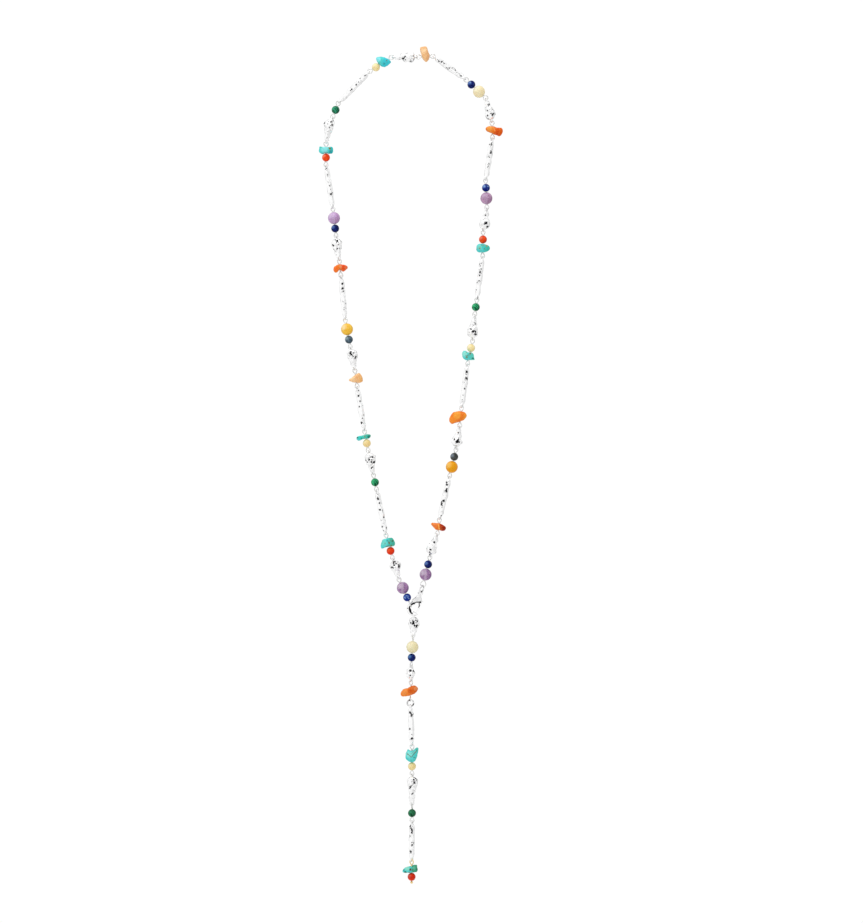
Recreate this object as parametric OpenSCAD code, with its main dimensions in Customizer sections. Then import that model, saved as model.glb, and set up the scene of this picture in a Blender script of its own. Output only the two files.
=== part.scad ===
// A long necklace of wired gemstones and cast silver links, shown hanging.
// The chain lies in the XZ plane with +Z up, and the front faces -Y. The origin is under
// the top of the loop, where the back of a neck carries it.

/* [Wire] */
// Diameter of the wire through the stones
wire_d = 0.6; // [0.5:0.05:0.65]
// Centreline radius of a wire eye
eye_r = 1.15; // [1.1:0.05:1.2]
// Diameter of the hole drilled through a stone
hole_d = 0.9; // [0.8:0.05:1]
// Free space left between neighbouring pieces
gap = 0.15; // [0.12:0.01:0.18]

/* [Cast links] */
// Centreline radius of the loop at each end of a cast link
loop_r = 0.9; // [0.9:0.05:1]
// Thickness of that loop's metal
loop_d = 0.65; // [0.6:0.05:0.7]
// Width of a hammered bar
bar_w = 2.9; // [2.4:0.1:3.2]
// Depth of a hammered bar, front to back
bar_t = 2.2; // [1.8:0.1:2.6]
// Width of a nugget
nugget_w = 5.6; // [4.6:0.1:6]
// Depth of a nugget, front to back
nugget_t = 4.4; // [3.6:0.1:5]

/* [Rings] */
// Centreline radius of the ring between the last wire and the clasp
clasp_ring_r = 1.9; // [1.8:0.05:2]
// Centreline radius of the ring in the drop
drop_ring_r = 1.6; // [1.5:0.05:1.7]
// Diameter of the wire of both rings
ring_d = 0.65; // [0.55:0.05:0.7]

/* [Clasp] */
// Centreline radius of the two wire eyes beside the clasp
catch_eye_r = 1.5; // [1.45:0.05:1.6]
// Lean of the clasp, its top to the right
clasp_lean = 17; // [16:0.5:18]
// Centreline radius of the hook
hook_r = 2.75; // [2.7:0.05:2.8]
// Thickness of the hook's metal
hook_d = 1.45; // [1.3:0.05:1.5]
// Thickness of the clasp's shoulder, front to back
clasp_t = 2.3; // [2.2:0.1:2.6]
// Thickness of the lever, front to back
lever_t = 1; // [0.8:0.05:1.1]
// Diameter of the hinge pin
pin_d = 0.6; // [0.5:0.05:0.7]
// Radial clearance of the lever on its pin
pin_play = 0.05; // [0.03:0.01:0.08]

/* [Hidden] */
$fn = 48;
wire_r = wire_d / 2;
stem_r = wire_r * 0.9;
hole_r = hole_d / 2;
loop_t = loop_d / 2;
ring_t = ring_d / 2;
stone_gap = gap + 0.07;
// Wires and links meet at an angle, which takes a little of the gap between their rings
link_gap = gap + 0.03;
// Centre distance of an eye and the cast loop hooked through it
eye_to_loop = eye_r + loop_r - wire_r - loop_t - link_gap;

SILVER = [0.86, 0.86, 0.87];
WIRE = [0.82, 0.79, 0.72];

// Colours of the stones
AMETHYST = [0.62, 0.47, 0.69];
LAPIS = [0.12, 0.2, 0.42];
MALACHITE = [0.18, 0.51, 0.37];
CARNELIAN = [0.85, 0.36, 0.22];
YELLOW = [0.93, 0.88, 0.66];
CREAM = [0.94, 0.87, 0.7];
AMBER = [0.89, 0.66, 0.25];
TURQUOISE = [0.45, 0.82, 0.84];
PEACH = [0.94, 0.76, 0.58];
ORANGE = [0.89, 0.52, 0.28];
// Round beads: name, diameter, colour
small = 4;
large = 6;
BEADS = [
  ["amethyst_bead_1", large, AMETHYST],
  ["lapis_bead_1", small, LAPIS],
  ["amber_bead_1", large, AMBER],
  ["lapis_bead_2", small, LAPIS],
  ["yellow_bead_1", small, YELLOW],
  ["malachite_bead_1", small, MALACHITE],
  ["carnelian_bead_1", small, CARNELIAN],
  ["amethyst_bead_2", large, AMETHYST],
  ["lapis_bead_3", small, LAPIS],
  ["cream_bead_1", large, CREAM],
  ["lapis_bead_4", small, LAPIS],
  ["yellow_bead_2", small, YELLOW],
  ["malachite_bead_2", small, MALACHITE],
  ["carnelian_bead_2", small, CARNELIAN],
  ["amethyst_bead_3", large, AMETHYST],
  ["lapis_bead_5", small, LAPIS],
  ["amber_bead_2", large, AMBER],
  ["lapis_bead_6", small, LAPIS],
  ["yellow_bead_3", small, YELLOW],
  ["malachite_bead_3", small, MALACHITE],
  ["carnelian_bead_3", small, CARNELIAN],
  ["amethyst_bead_4", large, AMETHYST],
  ["lapis_bead_7", small, LAPIS],
  ["cream_bead_2", large, CREAM],
  ["lapis_bead_8", small, LAPIS],
  ["yellow_bead_4", small, YELLOW],
  ["malachite_bead_4", small, MALACHITE],
  ["carnelian_bead_4", small, CARNELIAN]
];

// Tumbled chips: name, thickness, colour, outline seen from the front.
// Each outline point is [x, z] from the place where the wire crosses the chip's middle.
CHIPS = [
  ["orange_chip_1", 3.8, ORANGE,
    [[3.8, -0.9], [3, 0.1], [1.6, 1], [0.2, 1.5], [-1.6, 1.6], [-3.1, 1.7], [-3.8, 1.1],
     [-3.3, 0.3], [-2.2, -0.8], [-1.2, -1.8], [0.3, -2], [1.8, -2.5], [3.2, -2.2]]],
  ["orange_chip_2", 4.6, ORANGE,
    [[3, 0.4], [2.6, 1.6], [1.3, 2.5], [-0.8, 2.8], [-2.6, 2.6], [-4.2, 1.7], [-5.3, 0.3],
     [-5.8, -1.3], [-5.5, -2.8], [-4.2, -3.6], [-2.6, -3], [-0.6, -2.5], [1, -1.9], [2.5, -0.6]]],
  ["turquoise_chip_1", 4.2, TURQUOISE,
    [[2.2, -0.2], [1.8, 0.9], [0.7, 1.6], [-0.8, 1.6], [-2.1, 2.3], [-3.3, 2.1], [-3.7, 1],
     [-3.4, -0.8], [-2.7, -1.9], [-1.2, -2.3], [1, -2.3], [2.5, -2.2], [2.4, -1.2]]],
  ["turquoise_chip_2", 4.4, TURQUOISE,
    [[3.6, 0.2], [3, 1.5], [1.8, 1.9], [0, 2.3], [-1.6, 2.3], [-3, 1.4], [-3.3, -0.3],
     [-2.7, -1.7], [-1.4, -2.1], [0.6, -2], [2, -1.6], [3.2, -0.8]]],
  ["orange_chip_3", 4.4, ORANGE,
    [[4.6, 1.3], [2.4, 1.4], [0.4, 2.1], [-1.8, 2.1], [-3.1, 1.5], [-3.4, 0.6], [-2.3, -0.6],
     [0, -1.5], [1.6, -2.2], [3.1, -2.8], [4.2, -2.6], [5, -1.6], [5.4, -0.3]]],
  ["peach_chip_1", 4, PEACH,
    [[1.6, -2.1], [2.3, -0.6], [2.3, 0.9], [1.7, 2.2], [1.3, 4.4], [0.4, 5], [-1.4, 4.7],
     [-2.4, 4.2], [-2.1, 2.4], [-1.4, -0.3], [-0.4, -2], [0.6, -2.7]]],
  ["turquoise_chip_3", 4.5, TURQUOISE,
    [[3.7, 0.1], [2.8, 1.1], [1.2, 2.1], [-0.6, 2.8], [-3, 2.5], [-3.8, 1.7], [-3.2, 0.2],
     [-2.2, -1.1], [-1, -2.1], [0.4, -2.3], [1.6, -1.9], [2.9, -0.9]]],
  ["turquoise_chip_4", 3.8, TURQUOISE,
    [[3.6, 0], [3.3, 1.3], [2.2, 1.6], [0, 1.5], [-1.8, 1.6], [-3.2, 1.9], [-3.5, 0.5],
     [-3.4, -1], [-2.2, -1.9], [-0.9, -1.8], [0, -1.5], [1.2, -1.8], [3.1, -1.6]]],
  ["orange_chip_4", 3.6, ORANGE,
    [[3.9, -0.1], [3.1, 0.8], [1.5, 1.2], [0.2, 1.4], [-1.6, 0.9], [-3.2, -0.2], [-3.4, -1.6],
     [-2.5, -2.7], [-1.2, -2.5], [0, -1.1], [1.3, -2.4], [2.4, -1.8], [3.4, -0.9]]],
  ["peach_chip_2", 4.2, PEACH,
    [[3.4, -0.5], [3, 1.1], [1.9, 2.6], [0.8, 2.5], [-0.8, 1.4], [-2.5, 0.3], [-3.5, -0.5],
     [-3.4, -1.3], [-1.5, -1.9], [0.2, -2.1], [1.9, -2.1], [3.1, -1.6]]],
  ["turquoise_chip_5", 3, TURQUOISE,
    [[2.6, 0.6], [2.3, 1.3], [1, 1.5], [-1, 1], [-3.2, 0.6], [-4.4, 0], [-4.5, -1],
     [-3.6, -1.8], [-2.2, -1.5], [-0.6, -0.9], [0.9, -0.9], [2.1, -0.4]]],
  ["turquoise_chip_6", 4.6, TURQUOISE,
    [[3.4, -0.7], [3.1, 0.7], [2.3, 2.1], [1.2, 2.5], [-0.8, 2.1], [-2.8, 1.5], [-3.4, 0.1],
     [-3.7, -1.7], [-3.6, -2.8], [-2.9, -3], [-1.5, -2.5], [0.2, -2], [2.6, -1.8]]],
  ["orange_chip_5", 4.6, ORANGE,
    [[3.8, 0.3], [3.3, 1.7], [2, 2.4], [0.2, 2.1], [-1.6, 1], [-3.2, 0.8], [-4.4, -0.4],
     [-5, -1.9], [-4.4, -3], [-2.8, -3.2], [-1.2, -2.8], [0.6, -2.3], [2.4, -1.4]]],
  ["turquoise_chip_7", 4.6, TURQUOISE,
    [[2.5, 0], [2.9, 2], [3.3, 4], [2.6, 4.6], [1.5, 4.1], [0.3, 3.2], [-1, 3.2], [-2, 3.8],
     [-2.8, 2.6], [-3.3, 0.2], [-3.1, -1.1], [-1.8, -2.2], [0.1, -2.5], [1.6, -2]]],
  ["turquoise_chip_8", 3.8, TURQUOISE,
    [[3.1, -0.8], [2.9, 0.8], [2.6, 1.8], [1.1, 1.7], [-0.6, 1.2], [-2.4, 0.7], [-4.2, -0.3],
     [-4.7, -1.3], [-4, -2.1], [-2.4, -2.2], [-0.6, -2], [1.2, -1.8], [2.6, -1.7]]]
];

// Wires in order along the chain, from the clasp up the right arm, over the top, down the
// left arm and down the drop. Columns: x and z of the first stone, heading in degrees from +X,
// turn of the first eye out of the picture's plane, turn of the last eye, stones in order.
WIRES = [
  [6.8, -255.5, 76, -25, 30, ["amethyst_bead_1", "lapis_bead_1"]],
  [13.2, -231.3, 81, -30, -30, ["orange_chip_1"]],
  [19.9, -201.7, 76.5, 30, 30, ["amber_bead_1", "lapis_bead_2"]],
  [24.3, -176.6, 84, -30, -30, ["orange_chip_2"]],
  [28.7, -146, 78, 30, 30, ["turquoise_chip_1", "yellow_bead_1"]],
  [31.9, -121.8, 82, -30, -30, ["malachite_bead_1"]],
  [35.4, -92.5, 89, 30, 30, ["turquoise_chip_2", "carnelian_bead_1"]],
  [37.2, -67.4, 92.5, -30, -30, ["amethyst_bead_2", "lapis_bead_3"]],
  [40.1, -33.5, 92, 30, 12, ["orange_chip_3"]],
  [33.5, -14.1, 137, 0, 0, ["cream_bead_1", "lapis_bead_4"]],
  [6.4, 3.5, 182.6, 0, 8, ["peach_chip_1"]],
  [-14.2, 0.6, 213, 0, 0, ["turquoise_chip_3", "yellow_bead_2"]],
  [-38.2, -23.2, 248, 8, 20, ["malachite_bead_2"]],
  [-43, -43.3, 270, -18, -30, ["turquoise_chip_4", "carnelian_bead_2"]],
  [-39, -77.3, 276.5, 30, 30, ["amethyst_bead_3", "lapis_bead_5"]],
  [-36, -101.8, 276, -30, -30, ["orange_chip_4"]],
  [-32.5, -132.9, 280.5, 30, 30, ["amber_bead_2", "lapis_bead_6"]],
  [-28, -157.5, 278, -30, -30, ["peach_chip_2"]],
  [-23.2, -186.8, 281, 30, 30, ["turquoise_chip_5", "yellow_bead_3"]],
  [-18.5, -209.4, 282, -30, -30, ["malachite_bead_3"]],
  [-11.9, -239.6, 286, 30, 30, ["turquoise_chip_6", "carnelian_bead_3"]],
  [-4.6, -262.2, 294.5, -30, 90, ["amethyst_bead_4", "lapis_bead_7"]],
  [0.2, -291.8, 266, 75, 60, ["cream_bead_2", "lapis_bead_8"]],
  [-0.7, -313.4, 268, 40, 80, ["orange_chip_5"]],
  [0, -346.7, 270, 30, 30, ["turquoise_chip_7", "yellow_bead_4"]],
  [0, -374.8, 270, 75, 30, ["malachite_bead_4"]],
  [-0.2, -402.5, 270, 40, 0, ["turquoise_chip_8", "carnelian_bead_4"]]
];
head_pin_wire = 26;
// The first wire hangs from the clasp's ring, this one on the hook
hook_wire = 21;

// Where the round part of each nugget shows, [x, z], in chain order
NUGGET_AT = [
  [9.2, -244.3], [22.2, -189.9], [30.2, -134.9], [36.3, -81], [39.2, -25.7],
  [0.4, 3.2], [-41.4, -30.3], [-37.8, -89.3], [-30, -144.6], [-21, -196.9], [-8.7, -249.7]
];
DROP_NUGGET_AT = [[1.1, -279.6], [-0.8, -304.4], [0.2, -357.3]];

// Profiles of the cast links. Columns: place along the link, half width, half depth and
// share of the sideways bulge, the middle two as a share of the full half sizes.
BAR_ENDS = [[0.5, 0.4, 0.45], [1.1, 0.78, 0.8], [2.4, 0.95, 0.94]];
BALL = [[-1.45, 0.76, 0.78, 0.7], [-0.4, 0.98, 0.97, 1], [0.7, 1, 1, 1]];
// For the tail, the first column is a share of the way from the ball to the end
TAIL = [
  [0.24, 0.84, 0.86, 0.8], [0.46, 0.64, 0.68, 0.45], [0.74, 0.54, 0.58, 0.1], [1, 0.4, 0.44, 0]
];
BALL_ALONE = [[-1.05, 0.82, 0.8, 0.8], [0, 1, 1, 1], [1.05, 0.82, 0.84, 0.8]];
link_sides = 8;
neck_start = 0.5;
short_length = 7;
shortest_tail = 1.5;

// The clasp, in its own plane: [right, up] from the middle of its top loop
clasp_pull = 253;
clasp_loop_r = 1;
clasp_loop_t = 0.35;
hook_mid = [-0.9, -8.6];
hook_from = 95;
hook_to = 322;
pivot = [0.9, -4.1];
SHOULDER = [
  [0.5, -1], [-0.75, -1], [-2.95, -4.4], [-3, -5.3], [-2.6, -6.1], [-1.84, -6.8],
  [-1.07, -6.6], [-0.8, -5.4], [0.3, -4.95], [1.85, -4.8], [1.8, -3.2]
];
LEVER = [
  [0.4, -4.65], [0.85, -6], [0.95, -7.6], [0.8, -9.4], [1.15, -9.62], [1.6, -9.45],
  [1.85, -7.6], [1.75, -5.6], [2.1, -4.5], [2.7, -4.1], [2.65, -3.55], [1.4, -3.5]
];
lever_hub_r = 0.75;
slot_from = [-0.15, -6.2];
slot_to = [3.2, -3.15];
slot_play = 0.14;
// The first link of the drop rides on the hook with a wider loop
hook_loop_r = 1.5;
hook_loop_t = 0.35;

// Plane geometry
function flat(v) = [v[0], 0, v[1]];
function heading(a) = [cos(a), 0, sin(a)];
function unit(v) = v / norm(v);
function index(table, name) = search([name], table)[0];
function is_bead(name) = index(BEADS, name) != [];
function bead_r(name) = BEADS[index(BEADS, name)][1] / 2;
function outline(name) = CHIPS[index(CHIPS, name)][3];
function cross2(a, b) = a[0] * b[1] - a[1] * b[0];

// How far a chip reaches from the wire's crossing towards angle a
function ray(points, a) = max([
  for (i = [0:len(points) - 1])
    let (p = points[i],
         e = points[(i + 1) % len(points)] - p,
         d = [cos(a), sin(a)],
         w = cross2(d, e),
         level = abs(w) < 0.0001,
         s = level ? -1 : cross2(p, d) / w)
    s >= 0 && s <= 1 ? cross2(p, e) / w : 0
]);
// How far it reaches that way within the width of an eye
function wide_ray(points, a) = max(ray(points, a), max([
  for (p = rounded(points))
    let (d = [cos(a), sin(a)])
    abs(cross2(d, p)) < eye_r + wire_r ? p * d : 0
]));
function reach(name, a) = is_bead(name) ? bead_r(name) : ray(outline(name), a);
function eye_reach(name, a) = is_bead(name) ? bead_r(name) : wide_ray(outline(name), a);

// Wires: w is the number of a wire, k of a stone on it
function stones(w) = WIRES[w][5];
function angle(w) = WIRES[w][2];
function wire_point(w, s) = [WIRES[w][0], 0, WIRES[w][1]] + s * heading(angle(w));
function seat(w, k) = k == 0 ? 0 : seat(w, k - 1) + reach(stones(w)[k - 1], angle(w)) + stone_gap
  + reach(stones(w)[k], angle(w) + 180);
function in_r(w) = w == 0 ? catch_eye_r : eye_r;
function out_r(w) = w == hook_wire ? catch_eye_r : eye_r;
// Beyond a stone, the eye's centre stands off by the eye's outer radius and the gap
function stand_off(r) = r + wire_r + gap;
function first_eye(w) = -eye_reach(stones(w)[0], angle(w) + 180) - stand_off(in_r(w));
function last_eye(w) = let (k = len(stones(w)) - 1)
  seat(w, k) + eye_reach(stones(w)[k], angle(w)) + stand_off(out_r(w));
function turned(w, roll) = cos(roll) * [0, 1, 0] + sin(roll) * heading(angle(w) + 90);
function eye_in(w) = wire_point(w, first_eye(w));
function eye_out(w) = wire_point(w, last_eye(w));
function normal_in(w) = turned(w, WIRES[w][3]);
function normal_out(w) = turned(w, WIRES[w][4]);

// A ring hooked through another: its centre beyond that ring's, and its axis
function hooked(r1, t1, r2, t2) = r1 + r2 - t1 - t2 - gap;
function crossed(u, n) = unit(cross(u, n));

// Clasp plane to necklace
function turn2(v, a) = [v[0] * cos(a) + v[1] * sin(a), v[1] * cos(a) - v[0] * sin(a)];
clasp_ring_at = eye_in(0) + hooked(in_r(0), wire_r, clasp_ring_r, ring_t) * heading(clasp_pull);
clasp_at = clasp_ring_at
  + hooked(clasp_ring_r, ring_t, clasp_loop_r, clasp_loop_t) * heading(clasp_pull);
function on_clasp(v) = clasp_at + flat(turn2(v, clasp_lean));
hook_low = on_clasp(hook_mid) - [0, 0, hook_r];

// Ring in the drop
drop_line = unit(eye_in(24) - eye_out(23));
drop_ring_at = eye_out(23) + hooked(eye_r, wire_r, drop_ring_r, ring_t) * drop_line;
drop_ring_axis = crossed(drop_line, normal_out(23));

// Solid through a stack of rings of points, closed to a point at each end
module loft(start, rings, end) {
  n = len(rings[0]);
  m = len(rings);
  last = n * m + 1;
  function at(r, i) = 1 + r * n + i % n;
  polyhedron(
    points = [start, for (ring = rings) each ring, end],
    faces = [
      for (i = [0:n - 1]) [0, at(0, i), at(0, i + 1)],
      for (r = [0:m - 2], i = [0:n - 1]) each [
        [at(r, i), at(r + 1, i), at(r + 1, i + 1)],
        [at(r, i), at(r + 1, i + 1), at(r, i + 1)]
      ],
      for (i = [0:n - 1]) [last, at(m - 1, i + 1), at(m - 1, i)]
    ]
  );
}

module ring(at, axis, r, t) {
  translate(at)
    rotate([0, acos(axis[2]), atan2(axis[1], axis[0])])
      rotate_extrude()
        translate([r, 0])
          circle(t);
}

module rod(from, a, length, r) {
  translate(from)
    rotate([0, 90 - a, 0])
      cylinder(h = length, r = r);
}

// Stones
function rounded(o) = let (n = len(o)) [
  for (i = [0:n - 1]) each [
    o[i],
    (9 * (o[i] + o[(i + 1) % n]) - o[(i + n - 1) % n] - o[(i + 2) % n]) / 16
  ]
];
function chip_layer(o, y, scale) = [for (p = o) [p[0] * scale, y, p[1] * scale]];

module tumbled(points, t) {
  o = rounded(points);
  loft(
    [0, t * 0.52, 0],
    [for (l = [[0.5, 0.5], [0.24, 1], [-0.24, 1], [-0.5, 0.5]]) chip_layer(o, l[0] * t, l[1])],
    [0, -t * 0.52, 0]
  );
}

module stone(w, k) {
  name = stones(w)[k];
  bore = 12;
  table = is_bead(name) ? BEADS : CHIPS;
  color(table[index(table, name)][2])
    translate(wire_point(w, seat(w, k)))
      difference() {
        if (is_bead(name))
          sphere(bead_r(name));
        else
          tumbled(outline(name), CHIPS[index(CHIPS, name)][1]);
        rod(-bore / 2 * heading(angle(w)), angle(w), bore, hole_r);
      }
}

// Wires
module eye_wire(w) {
  start = first_eye(w) + in_r(w);
  ring(eye_in(w), normal_in(w), in_r(w), wire_r);
  rod(wire_point(w, start), angle(w), last_eye(w) - out_r(w) - start, stem_r);
  ring(eye_out(w), normal_out(w), out_r(w), wire_r);
}

module eye_wires(from, to) {
  color(WIRE)
    for (w = [from:to])
      eye_wire(w);
}

module head_pin() {
  w = head_pin_wire;
  ball_r = 0.65;
  end = last_eye(w) - stand_off(out_r(w)) + gap + ball_r;
  color(WIRE) {
    ring(eye_in(w), normal_in(w), eye_r, wire_r);
    rod(wire_point(w, first_eye(w) + eye_r), angle(w), end - first_eye(w) - eye_r, stem_r);
    translate(wire_point(w, end))
      sphere(ball_r);
  }
}

// Cast links run from the centre of one loop, c1, to the centre of the other, c2
function hammered(phi, s) = 1 + 0.05 * sin(3 * phi + 80 * s) + 0.03 * sin(2 * phi - 130 * s);
function link_ring(c1, u, s, w, d, shift) = let (v = [-u[2], 0, u[0]]) [
  for (i = [0:link_sides - 1])
    let (phi = 360 * (i + 0.5) / link_sides, k = hammered(phi, s))
    c1 + s * u + (shift + w * k * cos(phi)) * v - [0, d * k * sin(phi), 0]
];
function bar_stations(length) = [
  for (p = BAR_ENDS) [p[0], p[1], p[2], 0],
  for (f = [0.3, 0.43, 0.57, 0.7])
    [length * f, 1 + 0.05 * sin(f * 900), 1 + 0.04 * cos(f * 700), 0],
  for (i = [2:-1:0]) [length - BAR_ENDS[i][0], BAR_ENDS[i][1], BAR_ENDS[i][2], 0]
];
function nugget_stations(length, ball, start) = let (from = ball + BALL[2][0], end = length - neck_start) [
  [start, 0.42, 0.5, 0.3],
  for (p = BALL) [ball + p[0], p[1], p[2], p[3]],
  for (p = TAIL) [from + (end - from) * p[0], p[1], p[2], p[3]]
];
function short_stations(length, start) = let (end = length - neck_start) [
  [start, 0.5, 0.5, 0.3],
  for (p = BALL_ALONE) [(start + end) / 2 + p[0], p[1], p[2], p[3]],
  [end, 0.45, 0.5, 0.3]
];

module link_body(c1, u, stations, w, d, side) {
  rings = [
    for (p = stations)
      link_ring(c1, u, p[0], p[1] * w / 2, p[2] * d / 2, p[3] * side)
  ];
  first = stations[0];
  last = stations[len(stations) - 1];
  v = [-u[2], 0, u[0]];
  loft(
    c1 + (first[0] - 0.05) * u + first[3] * side * v,
    rings,
    c1 + (last[0] + 0.05) * u + last[3] * side * v
  );
}

module bar(c1, axis1, c2, axis2) {
  u = unit(c2 - c1);
  ring(c1, axis1, loop_r, loop_t);
  link_body(c1, u, bar_stations(norm(c2 - c1)), bar_w, bar_t, 0);
  ring(c2, axis2, loop_r, loop_t);
}

module nugget(c1, axis1, c2, axis2, at, r1 = loop_r, t1 = loop_t) {
  u = unit(c2 - c1);
  length = norm(c2 - c1);
  from = at - c1;
  side = from * [-u[2], 0, u[0]];
  start = r1 - loop_r + neck_start;
  last_ball = length - neck_start - shortest_tail - BALL[2][0];
  ball = max(start + 2.05, min(from * u, last_ball));
  short = length - r1 + loop_r < short_length;
  ring(c1, axis1, r1, t1);
  stations = short ? short_stations(length, start) : nugget_stations(length, ball, start);
  link_body(c1, u, stations, nugget_w, nugget_t, side);
  ring(c2, axis2, loop_r, loop_t);
}

// The cast link between wire w and the next one
module between(w, is_nugget, at) {
  e1 = eye_out(w);
  e2 = eye_in(w + 1);
  u = unit(e2 - e1);
  c1 = e1 + eye_to_loop * u;
  c2 = e2 - eye_to_loop * u;
  axis1 = crossed(u, normal_out(w));
  axis2 = crossed(u, normal_in(w + 1));
  if (is_nugget)
    nugget(c1, axis1, c2, axis2, at);
  else
    bar(c1, axis1, c2, axis2);
}

module bars(from, to) {
  color(SILVER)
    for (w = [from:2:to])
      between(w, false, undef);
}

module nuggets(from, to) {
  color(SILVER)
    for (w = [from:2:to])
      between(w, true, flat(NUGGET_AT[w / 2]));
}

module drop_nuggets() {
  hang = hook_loop_r - hook_loop_t - hook_d / 2 - gap;
  top = hook_low - [0, 0, hang];
  e = eye_in(22);
  u = unit(e - top);
  color(SILVER) {
    nugget(top, [1, 0, 0], e - eye_to_loop * u, crossed(u, normal_in(22)),
      flat(DROP_NUGGET_AT[0]), hook_loop_r, hook_loop_t);
    between(22, true, flat(DROP_NUGGET_AT[1]));
    between(24, true, flat(DROP_NUGGET_AT[2]));
  }
}

module drop_bars() {
  c1 = drop_ring_at + hooked(drop_ring_r, ring_t, loop_r, loop_t) * drop_line;
  c2 = eye_in(24) - eye_to_loop * drop_line;
  color(SILVER) {
    bar(c1, crossed(drop_line, drop_ring_axis), c2, crossed(drop_line, normal_in(24)));
    between(25, false, undef);
  }
}

module drop_ring() {
  color(SILVER)
    ring(drop_ring_at, drop_ring_axis, drop_ring_r, ring_t);
}

module clasp_ring() {
  color(SILVER)
    ring(clasp_ring_at, crossed(heading(clasp_pull), normal_in(0)), clasp_ring_r, ring_t);
}

// Clasp
module in_clasp() {
  translate(clasp_at)
    rotate([0, clasp_lean, 0])
      rotate([90, 0, 0])
        children();
}

module plate(points, t) {
  translate([0, 0, -t / 2])
    linear_extrude(t)
      polygon(points);
}

module hub(r, t) {
  translate([pivot[0], pivot[1], -t / 2])
    cylinder(h = t, r = r);
}

module clasp_body() {
  slot_w = lever_t + 2 * slot_play;
  slot = slot_to - slot_from;
  color(SILVER)
    in_clasp() {
      rotate_extrude()
        translate([clasp_loop_r, 0])
          circle(clasp_loop_t);
      difference() {
        plate(SHOULDER, clasp_t);
        translate([slot_from[0], slot_from[1], -slot_w / 2])
          cube([slot[0], slot[1], slot_w]);
      }
      hub(pin_d / 2, clasp_t - 0.2);
      translate(hook_mid)
        rotate([0, 0, hook_from])
          rotate_extrude(angle = hook_to - hook_from)
            translate([hook_r, 0])
              circle(hook_d / 2);
    }
}

module clasp_lever() {
  color(SILVER)
    in_clasp()
      difference() {
        union() {
          plate(LEVER, lever_t);
          hub(lever_hub_r, lever_t);
        }
        hub(pin_d / 2 + pin_play, 2 * lever_t);
      }
}

SILVERWORK = [
  "clasp_body", "clasp_lever", "clasp_ring", "drop_ring", "head_pin",
  "bar_links_right", "bar_links_left", "bar_links_drop",
  "nugget_links_right", "nugget_links_left", "nugget_links_drop",
  "eye_wires_right", "eye_wires_left", "eye_wires_drop"
];

for (w = [0:len(WIRES) - 1], k = [0:len(stones(w)) - 1])
  stone(w, k);
clasp_body();
clasp_lever();
clasp_ring();
drop_ring();
head_pin();
bars(1, 9);  // bar_links_right
bars(11, 19);  // bar_links_left
drop_bars();  // bar_links_drop
nuggets(0, 8);  // nugget_links_right
nuggets(10, 20);  // nugget_links_left
drop_nuggets();  // nugget_links_drop
eye_wires(0, 9);  // eye_wires_right
eye_wires(10, 21);  // eye_wires_left
eye_wires(22, 25);  // eye_wires_drop
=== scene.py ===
"""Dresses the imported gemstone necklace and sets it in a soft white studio."""

import math

import bpy
import numpy as np
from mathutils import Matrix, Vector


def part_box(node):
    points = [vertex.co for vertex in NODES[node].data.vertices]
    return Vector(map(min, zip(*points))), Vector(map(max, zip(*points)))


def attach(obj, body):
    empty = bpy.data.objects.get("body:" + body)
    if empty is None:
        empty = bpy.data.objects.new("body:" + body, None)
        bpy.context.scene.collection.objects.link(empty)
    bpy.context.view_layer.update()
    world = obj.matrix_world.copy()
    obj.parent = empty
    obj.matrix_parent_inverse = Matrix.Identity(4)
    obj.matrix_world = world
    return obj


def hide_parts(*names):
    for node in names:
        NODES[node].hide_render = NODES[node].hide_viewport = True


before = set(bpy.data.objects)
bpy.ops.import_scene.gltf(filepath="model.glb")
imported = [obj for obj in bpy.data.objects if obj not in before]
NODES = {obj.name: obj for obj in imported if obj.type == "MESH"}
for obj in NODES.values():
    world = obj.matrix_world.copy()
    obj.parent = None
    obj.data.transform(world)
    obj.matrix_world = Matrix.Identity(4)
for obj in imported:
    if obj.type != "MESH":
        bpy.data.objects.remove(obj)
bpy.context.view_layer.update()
MM = 0.001
# How fine the skins of castings and chips are, in mm
VOXEL = 0.15

# The photograph: its centre on the necklace's plane and the height it covers in mm, and its lens
PICTURE_CENTRE = (9.75, -199.0)
PICTURE_HEIGHT = 461.5
LENS = 85
SENSOR = 36
# The picture's pixel at X = 0 and Z = 0, and its pixels for each mm
PIXEL_ZERO = (412, 63.5)
PIXELS_PER_MM = 2

# Wires, in mm: how far an eye reaches from the wire's end, the radius of one strand of the folded
# wire, each strand's distance from the wire's middle, and the radius of the rings' wire
EYE_ZONE = 2.6
STRAND = 0.24
STRAND_APART = 0.2
RING_STRAND = 0.36
# An eye's shape, in mm: how far its strand lies inside its outer radius, how far the mouth lies
# beyond it, and how far from the mouth the strands run straight and begin to part
EYE_INSET = 0.3
EYE_MOUTH = 0.15
EYE_STRAIGHT = 0.35
EYE_PART = 0.45
# The ball of the last wire and the strand above it, as radii in mm
BALL = 0.68
PIN_STRAND = 0.27
# How far a casting's plain loop reaches from its end, and the wider one that rides on the hook,
# in mm. That one is known by its radius.
LOOP_ZONE = 2.5
WIDE_LOOP_ZONE = 3.7
WIDE_LOOP = 1.5


# Colours and nodes

def rgb(r, g, b):
    """A colour of the picture, 0 to 255, as Blender's linear RGBA."""
    def linear(v):
        v /= 255
        return v / 12.92 if v <= 0.04045 else ((v + 0.055) / 1.055) ** 2.4

    return (linear(r), linear(g), linear(b), 1)


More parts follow.
